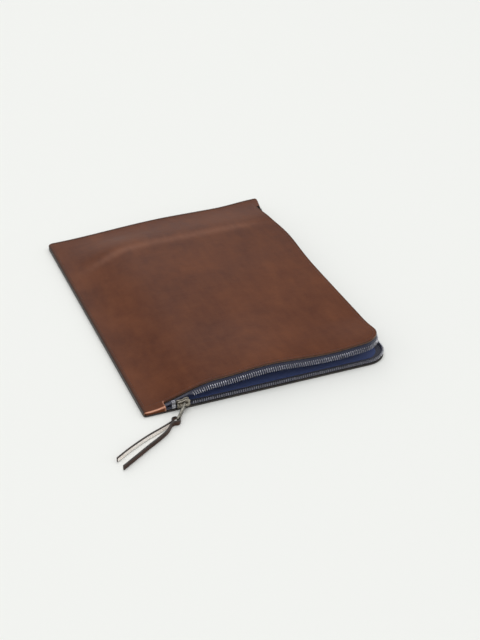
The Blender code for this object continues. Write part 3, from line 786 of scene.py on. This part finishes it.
def leather_back():
    corners = [(WIDTH - BACK_RADIUS, BACK_RADIUS, 1, -1, BACK_RADIUS), *SEWN_CORNERS]
    across = lines(0, (4.8, 0.8), (20, 3), (233, 4), (251, 1.8), (257, 0.75))
    along = lines(0, (6, 0.75), (24, 1.8), (283, 4), (351, 3), (357, 0.8))

    def point(u, v):
        return place(u, v, rise(u, v) + groove(seam_gap(u, v, *LOWER)))

    looks = (Looks.flesh, Looks.grain, Looks.edge)
    made = panel("leather_back", looks, across, along, corners, point, LEATHER)
    three_sides(made, 0, 1, 2, 0.9)
    for face in made.data.polygons:
        if face.material_index == 0 and arc_gap(*spot_of(face.center), *LOWER) < 2 * MM:
            face.material_index = 2
    carry(made, wear_and_light=lambda point: paint(*spot_of(point), *LOWER))
    finish(made, "sleeve", "leather", "back_panel")


def leather_welt():
    """The strip between the panels along the sewn sides, which shows as part of their edge."""
    inset, near = 0.15, SEWN_RADIUS / MM
    end, far = WIDTH / MM - near, LENGTH / MM - inset
    wide = WELT_WIDE / MM
    across = lines(inset, (wide, 1.6), (end, 6))
    along = lines(near, (LENGTH / MM - wide, 5), (far, 1.6))

    def inside(u, v):
        return u > WELT_WIDE and v < LENGTH - WELT_WIDE

    def point(u, v):
        return place(u, v, rise(u, v) + LEATHER + 0.02 * MM)

    thick = CLOSED_UNDER - LEATHER - 0.04 * MM
    corners = [SEWN_CORNERS[1]]
    looks = (Looks.edge,)
    made = panel("leather_welt", looks, across, along, corners, point, thick, inside, 0.3 * MM)
    carry(made)
    finish(made, "sleeve", "leather", "edge_welt")


# Linings


def cloth(name, near, side, radius, point, body, held, rests_on, *nodes):
    """A lining, cut to end at the welt and over the zip tape's inner edge."""
    inside = (TAPE_INSIDE - 1.5 * MM) / MM
    hem = (WELT_WIDE + GAP) / MM
    low, right, far = near / MM + inside, side / MM - inside, LENGTH / MM - hem
    turn = radius / MM - inside
    across = lines(hem, (right - turn, 4), (right, 1.6))
    along = lines(low, (low + turn, 1.6), (far, 4))
    corner = ((right - turn) * MM, (low + turn) * MM, 1, -1, turn * MM)
    made = panel(name, (Looks.lining,), across, along, [corner], point, LINING, edge=0.15 * MM)
    carry(made)
    finish(made, body, "lining", *nodes)


def linings():
    """The back panel's lining and the front one's, which is slightly puffed."""

    def back(u, v):
        return place(u, v, rise(u, v) + LEATHER + 0.9 * MM)

    def front(u, v):
        puff = 0.25 * math.sin(u / (23 * MM)) * math.sin(v / (31 * MM) + 1)
        return place(u, v, front_under(u, v) - 1.35 * MM - 0.2 * MM * (1 + puff))

    cloth("cloth_back", *LOWER, back, "sleeve", "laid", ["leather_back"], "back_lining")
    nodes = ("front_lining", "flap_lining")
    cloth("cloth_front", *UPPER, front, "fold", "stretched", ["leather_front"], *nodes)


# The zip


def band(path, halves):
    """The closed outline of a band about a path of (a, b) points."""
    left, right = [], []
    for i, (a, b) in enumerate(path):
        before = path[max(i - 1, 0)]
        after = path[min(i + 1, len(path) - 1)]
        run = Vector((after[0] - before[0], after[1] - before[1])).normalized()
        half = halves[i]
        left.append((a - run.y * half, b + run.x * half))
        right.append((a + run.y * half, b - run.x * half))
    return left + right[::-1]


def tape(name, point, path_at, start, end, body, *nodes):
    """A zip tape: flat where it is sewn in, then turned out to its beaded edge."""
    rings = []
    for distance in spread(start, end, PITCH / 2):
        path = path_at(distance)
        halves = [TAPE_HALF] * (len(path) - 3) + [BEAD_HALF * 0.8, BEAD_HALF, BEAD_HALF * 0.7]
        rings.append([point(distance, *spot) for spot in band(path, halves)])
    made = loft(name, rings, (Looks.tape,))
    around = running_lengths(rings[len(rings) // 2])
    places = made.data.attributes.new("flat", "FLOAT_VECTOR", "POINT")
    for i, spot in enumerate(places.data):
        ring, corner = divmod(i, len(around))
        along = mix(start, end, ring / (len(rings) - 1))
        spot.vector = (along / MM, around[corner] / MM, 0)
    finish(made, body, "zip_tape", *nodes)


def lower_path(_distance):
    """The lower tape's line: (outward, height) from inside the pocket up to its bead."""
    floor = LEATHER + GAP + TAPE_HALF
    bend = 1.1 * MM
    path = [(-TAPE_INSIDE, floor), (-TAPE_INSIDE / 2, floor)]
    for turn in (math.pi / 2 * i / 4 for i in range(5)):
        across = -CHAIN_IN - bend + bend * math.sin(turn)
        path.append((across, floor + bend - bend * math.cos(turn)))
    foot = LOWER_TEETH[0]
    return path + [(-CHAIN_IN, foot + up * MM) for up in (-0.3, 0.6, 1.2)]


def upper_path(distance):
    """The upper tape's line: (reach, drop) from inside the pocket out to its bead."""
    near_stop = 1 - smooth((distance - 6.5 * MM) / (2.5 * MM))
    past = smooth((distance - TEETH_START + TAB + 2 * MM) / (2 * MM))
    reach = TAPE_REACH + TAPE_WIDER * max(near_stop, past)
    reach -= TAPE_TUCK * smooth((distance - UPPER_END + 12 * MM) / (7 * MM))
    outs = [-TAPE_INSIDE, -TAPE_INSIDE / 2, -1 * MM, 0.3 * MM, reach / 2]
    outs += [reach - 1.5 * MM, reach - 0.6 * MM, reach]
    return [(out, TAPE_HALF) for out in outs]


def tapes():
    """Both zip tapes, from the near tab to the far one."""
    end = edge_distance(ZIP_END, *LOWER)
    tape("tape_lower", lower_point, lower_path, 0.2 * MM, end, "sleeve", "lower_tape")
    nodes = ("upper_tape_start", "upper_tape_flap", "upper_tape_end")
    tape("tape_upper", upper_point, upper_path, 0.2 * MM, UPPER_END, "fold", *nodes)


def tooth(work, origin, way, reach, side, foot, tip, long=1.0 * MM, nub=True):
    """A tooth clipped on the bead: two legs, shoulders, and a head with its nub."""
    half, thick = long / 2, 1.2 * MM
    head = foot + (tip - foot) * 0.52
    levels = (
        (foot, 0.86, 0.82),
        (foot + 0.22 * MM, 1.0, 1.0),
        (head - 0.2 * MM, 1.0, 1.0),
        (head + 0.1 * MM, 0.78, 0.92),
        (tip - 0.3 * MM, 0.74, 0.92),
        (tip, 0.5, 0.66),
    )
    corner = 0.28
    outline = ((1, corner), (corner, 1), (-corner, 1), (-1, corner))
    outline += ((-1, -corner), (-corner, -1), (corner, -1), (1, -corner))
    rings = []
    for level, wide, deep in levels:
        middle = origin + reach * level
        across, along = side * (thick * wide), way * (half * deep)
        rings.append([middle + along * x + across * y for x, y in outline])
    skin(work, rings)
    if nub:
        middle = origin + reach * mix(head, tip, 0.5) + way * (half * 0.9)
        square = ((-0.34, -0.5), (0.34, -0.5), (0.34, 0.5), (-0.34, 0.5))
        base = [reach * a + side * b for a, b in square]
        peak = middle + way * 0.42 * MM
        skin(work, [[middle + b * MM for b in base], [peak + b * 0.5 * MM for b in base]])


def tooth_place(point, distance, axes):
    """The middle of the tape at a distance, and the ways along, out and across it there."""
    origin = point(distance, *axes[0])
    reach = (point(distance, *axes[1]) - origin).normalized()
    step = 0.5 * MM
    way = (point(distance + step, *axes[0]) - point(distance - step, *axes[0])).normalized()
    way = (way - reach * way.dot(reach)).normalized()
    return origin, way, reach, reach.cross(way)


# Where a tooth stands on its tape, and a place further out along its reach
LOWER_AXES = ((-CHAIN_IN, 0.0), (-CHAIN_IN, 1 * MM))
UPPER_AXES = ((NUDGE, TAPE_HALF), (1 * MM, TAPE_HALF))


def rows():
    """Each tape's teeth, at the chain's pitch, and the stop crimped on past the last one."""
    first = TEETH_START - TAB + TOOTH_ROOM
    upper_nodes = ("upper_teeth_start", "upper_teeth_flap", "upper_teeth_end")
    for where, point, axes, sizes, edge, start, body, nodes in (
        ("lower", lower_point, LOWER_AXES, LOWER_TEETH, LOWER, first, "sleeve", ("lower_teeth",)),
        ("upper", upper_point, UPPER_AXES, UPPER_TEETH, UPPER, first + PITCH / 2, "fold", upper_nodes),
    ):
        end = edge_distance(TEETH_END, *edge)
        work = bmesh.new()
        for i in range(int((end - TOOTH_ROOM - start) / PITCH) + 1):
            tooth(work, *tooth_place(point, start + i * PITCH, axes), *sizes)
        made = closed("row_" + where, work, (Looks.teeth,), 40)
        finish(made, body, "teeth", *nodes)
        work = bmesh.new()
        spot = tooth_place(point, end + STOP_PAST, axes)
        tooth(work, *spot, *sizes, long=STOP_LONG, nub=False)
        made = closed("stop_" + where, work, (Looks.teeth,), 40)
        finish(made, "sleeve", "teeth", where + "_top_stop")


# The slider and the pull tab


def plate(name, outlines, thickness, edge, look):
    """A plate with rounded edges from outlines in millimetres, all but the first as holes."""
    data = bpy.data.curves.new(name, "CURVE")
    data.dimensions = "2D"
    data.fill_mode = "BOTH"
    data.extrude = thickness / 2 - edge
    data.bevel_depth = edge
    data.bevel_resolution = 2
    data.offset = -edge
    for outline in outlines:
        spline = data.splines.new("POLY")
        spline.points.add(len(outline) - 1)
        for point, corner in zip(spline.points, outline):
            point.co = (corner[0] * MM, corner[1] * MM, 0, 1)
        spline.use_cyclic_u = True
    curve = linked(name, data)
    work = bmesh.new()
    work.from_mesh(final_mesh(curve))
    bpy.data.objects.remove(curve)
    bmesh.ops.remove_doubles(work, verts=work.verts, dist=0.002 * MM)
    bmesh.ops.recalc_face_normals(work, faces=work.faces)
    return new_piece(name, work, (look,))


def rounded(corners, steps=6):
    """The outline through (x, y, radius) corners, each with its radius as an arc."""
    points = []
    for i, (x, y, radius) in enumerate(corners):
        here = Vector((x, y))
        back = (Vector(corners[i - 1][:2]) - here).normalized()
        on = (Vector(corners[(i + 1) % len(corners)][:2]) - here).normalized()
        half = back.angle(on) / 2
        middle = here + (back + on).normalized() * radius / math.sin(half)
        start = here + back * radius / math.tan(half) - middle
        turn = (math.pi - 2 * half) * (1 if back.cross(on) < 0 else -1)
        for step in range(steps + 1):
            points.append(middle + Matrix.Rotation(turn * step / steps, 2) @ start)
    return points


def joined(name, pieces):
    """Several meshes as one piece, in place."""
    work = bmesh.new()
    for piece in pieces:
        piece.data.transform(piece.matrix_basis)
        work.from_mesh(piece.data)
    look = pieces[0].data.materials[0]
    for piece in pieces:
        bpy.data.objects.remove(piece)
    return settle(new_piece(name, work, (look,)), 35)


UPRIGHT = Matrix.Rotation(math.pi / 2, 4, "X")  # lays a plate's outline on the XZ plane


def slider():
    """Two plates with turned-in edges, the upper one flared towards the mouth."""
    long, high = SLIDER_LONG / MM / 2, SLIDER_WIDE / MM / 2
    narrow, flange = high - SLIDER_TAPER / MM, FLANGE / MM
    soft = 1.3
    outline = rounded(
        ((-long, -high, soft), (long, -high, 2.4), (long, -0.9, 0.5), (long - 0.9, 0, 0.6))
        + ((long, 0.9, 0.5), (long, high, 2.4), (long * 0.45, high, 3))
        + ((-long * 0.15, narrow, 3), (-long, narrow, soft))
    )
    back, front = soft * 0.7 - long, long - 2.2
    wide_way, narrow_way = high - flange / 2, narrow - flange / 2
    lower = ((back, -wide_way), (front, -wide_way))
    upper = ((back, narrow_way), (-long * 0.2, narrow_way))
    upper += ((long * 0.45, wide_way), (front, wide_way))
    walls = [band(way, [flange / 2] * len(way)) for way in (lower, upper)]
    root, end = 4.6, long - 1
    post = ((2.1, 0, 0.1), (root, -0.4, 0.4), (end, -0.34, 0.3), (end, 0.34, 0.3), (root, 0.4, 0.4))
    pieces = []

    def add(shape, deep, edge, offset):
        made = plate("slider_bit", [shape], deep, edge, Looks.hardware)
        made.matrix_basis = Matrix.Translation(SLIDER_MIDDLE + Vector((0, offset, 0))) @ UPRIGHT
        pieces.append(made)

    half = SLIDER_DEEP / 2
    wall_deep = half - SLOT / 2
    for side in (-1, 1):
        add(outline, PLATE, 0.22 * MM, side * (half - PLATE / 2))
        for wall in walls:
            add(wall, wall_deep, 0.15 * MM, side * (half - wall_deep / 2))
    add(rounded(post, 3), SLIDER_DEEP - PLATE, 0.05 * MM, 0)
    finish(joined("slider_case", pieces), "slider", "hardware", "slider_body")


def bridge():
    """The strap that holds the pull tab, with its feet spread on the front plate."""
    arch, top, thick, foot = 4.2, 2.9, 0.9, 1.5
    corners = ((-arch, 0, 0.1), (-arch, top, 1.5), (arch, top, 1.5), (arch, 0, 0.1))
    corners += ((arch - foot, 0, 0.1), (arch - foot, top - thick, 0.5))
    corners += ((foot - arch, top - thick, 0.5), (foot - arch, 0, 0.1))
    made = plate("bridge", [rounded(corners)], 2.0 * MM, 0.3 * MM, Looks.hardware)
    front = SLIDER_MIDDLE - Vector((0, SLIDER_DEEP / 2 - 0.05 * MM, 0))
    stretch = Matrix.Diagonal((1, (top + 0.3) / top, 1, 1))
    made.matrix_basis = Matrix.Translation(front) @ Matrix.Rotation(math.pi, 4, "X") @ stretch
    finish(joined("slider_strap", [made]), "slider", "hardware", "slider_bridge")


def tab_axes():
    """The pull tab's length, width and thickness ways, from its two pivots."""
    side = -Vector(JOINTS["puller_swing"]["axis"]).normalized()
    way = (LACE_PIVOT - PIVOT).normalized()
    return way, side.cross(way), side


def pull_tab():
    """A flat plate on edge, with an eye for the strap and a slot for the lace."""
    way, up, side = tab_axes()
    half, waist = TAB_WIDE / MM / 2, 2.1
    tail = TAB_LONG / MM - half
    corners = ((-half, -half, 2.3), (half, -half, 1.6), (5, -waist, 2), (13, -waist, 2))
    corners += ((15.6, -half, 1.6), (tail, -half, 1.9))
    corners += tuple((x, -y, radius) for x, y, radius in corners[::-1])
    turns = [math.tau * i / 24 for i in range(24)]
    eye = [1.75 * Vector((math.cos(turn), math.sin(turn))) for turn in turns]
    wide, slot_end = 1.6, tail - 1.1
    slot_start = slot_end - 3.4
    slot = ((slot_start, -wide, 0.6), (slot_end, -wide, 0.6))
    slot += ((slot_end, wide, 0.6), (slot_start, wide, 0.6))
    outlines = [rounded(corners), eye, rounded(slot, 4)]
    made = plate("tab", outlines, TAB_THICK, 0.3 * MM, Looks.pull)
    turned = Matrix((way, up, side)).transposed().to_4x4()
    made.matrix_basis = Matrix.Translation(PIVOT) @ turned
    finish(joined("tab_plate", [made]), "puller", "hardware", "pull_tab")


def lace_section(spot, normal, height, wide):
    """A strip's upright cross-section, painted at its top; its first half faces normal."""
    half, tall = LACE_THICK / 2, wide / 2
    soft, painted = 0.3 * MM, 1.1 * MM
    outer = [(half - soft, -tall), (half - soft * 0.4, soft * 0.3 - tall), (half, soft - tall)]
    outer += [(half, tall - painted), (half - soft * 0.4, tall - soft * 0.3), (half - soft, tall)]
    ring = outer + [(-x, y) for x, y in outer[::-1]]
    base = Vector((spot.x, spot.y, height))
    return [base + normal * x + Vector((0, 0, y)) for x, y in ring]


def lace_side(i):
    """The look of the section's i-th side: hair side 0, flesh side 1, cut or painted edge 2."""
    return {3: 0, 9: 1}.get(i, 2)


def lace_parts(name, rings, inside):
    """A stretch of the strip, with its hair side outwards."""
    return carry(loft(name, rings, (Looks.lace, inside, Looks.lace_edge), lace_side))


def smooth_line(points, count):
    """Points evenly spaced along a smooth curve through the given ones."""
    ends = [2 * points[0] - points[1], *points, 2 * points[-1] - points[-2]]
    fine = []
    for a, b, c, d in zip(ends, ends[1:], ends[2:], ends[3:]):
        for i in range(24):
            t = i / 24
            curve = 2 * b + (c - a) * t + (2 * a - 5 * b + 4 * c - d) * t * t
            fine.append((curve + (3 * b - a - 3 * c + d) * t**3) / 2)
    fine.append(points[-1])
    lengths = running_lengths(fine)
    stops = spread(0, lengths[-1], lengths[-1] / count)
    return [point_along(fine, lengths, distance) for distance in stops]


def lace():
    """One leather strip on edge, folded round the end of the tab."""
    middle_height = LACE_FLOOR + LACE_WIDE / 2
    pinch = place(PINCH[0] * MM, PINCH[1] * MM, 0)
    centre = Vector((LACE_PIVOT.x, LACE_PIVOT.y, 0))
    away = (pinch - centre).normalized()
    centre += away * LOOP_RADIUS
    aside = Vector((-away.y, away.x, 0))
    rings = []
    for turn in spread(LOOP_OPEN, math.tau - LOOP_OPEN, (math.tau - 2 * LOOP_OPEN) / LOOP_STEPS):
        out = away * math.cos(turn) + aside * math.sin(turn)
        neck = smooth(1.8 * abs(turn / math.pi - 1) - NECK_FLAT)
        wide = mix(LACE_NECK, LACE_WIDE, neck)
        height = mix(LACE_PIVOT.z, middle_height, neck)
        rings.append(lace_section(centre + out * LOOP_RADIUS, out, height, wide))
    # The loop's inside takes the darker painted-shade flesh look
    fold = lace_parts("lace_fold", rings, Looks.lace_inside_shade)
    finish(fold, "lace", "lace", "lace_loop")

    for (end, route), side in zip(TAIL_ROUTES.items(), (-1, 1)):
        out = away * math.cos(LOOP_OPEN) + aside * math.sin(LOOP_OPEN) * side
        way = away * math.sin(LOOP_OPEN) - aside * math.cos(LOOP_OPEN) * side
        first = centre + out * LOOP_RADIUS
        beside = aside * side * (LACE_THICK / 2 + GAP)
        points = [first, first + way * 4 * GAP]
        points += [pinch - away * 2 * LACE_THICK + beside, pinch + beside]
        points += [place(x * MM, y * MM, 0) for x, y in route]
        line = smooth_line(points, TAIL_STEPS)
        rings = []
        for i, spot in enumerate(line):
            run = line[min(i + 1, len(line) - 1)] - line[i - 1] if i else way
            normal = Vector((-run.y, run.x, 0)).normalized() * side
            rings.append(lace_section(spot, normal, middle_height, LACE_WIDE))
        made = lace_parts("lace_end_" + end, rings, Looks.lace_flesh)
        finish(made, "lace", "lace", "lace_tail_" + end)
        path = [Vector((p.x, p.y, middle_height)) for p in line]
        length = running_lengths(path)[-1]


# Stitches


def stitches(name, line, up, body, *nodes):
    """A row of stitches along points on the leather, each dipping into its holes."""
    work = bmesh.new()
    lengths = running_lengths(line)
    half = ((0, 0.75, 0.7), (0.1, 0.3, 1), (0.35, 0, 1.05))
    shape = half + tuple((1 - share, sunk, size) for share, sunk, size in half[::-1])
    turns = [math.tau * i / 6 for i in range(6)]
    for number in range(int((lengths[-1] - STITCH) / STITCH_STEP) + 1):
        start = number * STITCH_STEP
        a, b = (point_along(line, lengths, end) for end in (start, start + STITCH))
        side = (b - a).normalized().cross(up).normalized()
        round_ = [(up * math.sin(turn) + side * math.cos(turn)) * THREAD for turn in turns]
        rings = []
        for share, sunk, size in shape:
            middle = a.lerp(b, share) - up * THREAD * sunk + side * (share - 0.5) * SLANT
            rings.append([middle + spoke * size for spoke in round_])
        skin(work, rings)
    made = carry(closed(name, work, (Looks.thread,), 60))
    finish(made, body, "thread", *nodes)


def seams():
    """The rows of stitches along the left and far sides and the zip, front and back."""
    up = Vector((0, 0, 1))
    zip_nodes = ("zip_seam_start", "zip_seam_flap", "zip_seam_end")
    replaced = {"left": ("left_seam_thread",), "far": ("far_seam_thread",), "zip": zip_nodes}

    def on_front(u, v):
        return front_point(u, v) + Vector((0, 0, LEATHER + THREAD * 0.2))

    def on_back(u, v):
        return place(u, v, rise(u, v) + THREAD * 1.15)

    step = 6 * MM
    for where, on, face, near, edge in (
        ("front", on_front, up, FRONT_NEAR + 3 * MM, UPPER),
        ("back", on_back, -up, 5 * MM, LOWER),
    ):
        beside_zip = []
        for distance in spread(-14 * MM, edge_distance(ZIP_END, *edge) + 12 * MM, step / 2):
            spot, out = edge_at(distance, *edge)
            beside_zip.append(on(*(spot - out * SEAM_IN)))
        rows_at = {
            "left": [on(SEAM_IN, v) for v in spread(near, LENGTH - SEAM_IN, step)],
            "far": [on(u, LENGTH - SEAM_IN) for u in spread(SEAM_IN + 2 * MM, WIDTH - 8 * MM, step)],
            "zip": beside_zip,
        }
        for part, line in rows_at.items():
            body = "fold" if (part, where) == ("zip", "front") else "sleeve"
            nodes = replaced[part] if where == "front" else ()
            stitches(f"stitches_{part}_{where}", line, face, body, *nodes)


# What shows of the frame itself


def dress_frame():
    """Gives the bottom stop, whose shape is right, its metal."""
    stop = frame["nodes"]["bottom_stop"]
    stop.data.materials.clear()
    stop.data.materials.append(Looks.teeth)


# The floor, the light and the camera


def stage():
    """A plain pale floor, an even sky and three soft lamps."""
    bpy.ops.mesh.primitive_plane_add(size=8)
    floor = bpy.context.object
    floor.name = "floor"
    look = Surface("floor_paper")
    paper = (0.868, 0.87, 0.835, 1)
    set_even(look.shader, {"Base Color": paper, "Roughness": 0.9, "Specular IOR Level": 0.1})
    floor.data.materials.append(look.material)

    world = bpy.data.worlds.new("studio")
    bpy.context.scene.world = world
    world.use_nodes = True
    sky = {"Color": (0.97, 0.985, 1.0, 1), "Strength": 0.7}
    set_even(world.node_tree.nodes["Background"], sky)

    for name, spot, size, power in (
        ("overhead", (0.4, 0.6, 4.0), 2.6, 42),
        ("beyond", (0.6, 3.8, 2.1), 2.4, 16),
        ("front", (-1.7, -2.8, 3.0), 1.6, 26),
    ):
        data = bpy.data.lights.new(name, "AREA")
        data.size = size
        data.energy = power
        lamp = linked(name, data)
        lamp.location = spot
        lamp.rotation_euler = (-Vector(spot)).to_track_quat("-Z", "Y").to_euler()


def camera():
    """The photo's view."""
    data = bpy.data.cameras.new("camera")
    data.sensor_fit = "VERTICAL"
    data.sensor_height = 36
    data.lens = 69.05
    shot = linked("camera", data)
    shot.location = (-0.3905, -1.0665, 0.680)
    yaw, pitch = math.radians(21.97), math.radians(31.85)
    way = Vector((math.sin(yaw), math.cos(yaw), -math.tan(pitch)))
    shot.rotation_euler = way.to_track_quat("-Z", "Y").to_euler()
    scene = bpy.context.scene
    scene.camera = shot
    scene.view_settings.view_transform = "Standard"
    scene.view_settings.look = "None"


camera()
lace()
leather_back()
leather_welt()
leather_front()
linings()
tapes()
rows()
slider()
bridge()
pull_tab()
seams()
dress_frame()
stage()
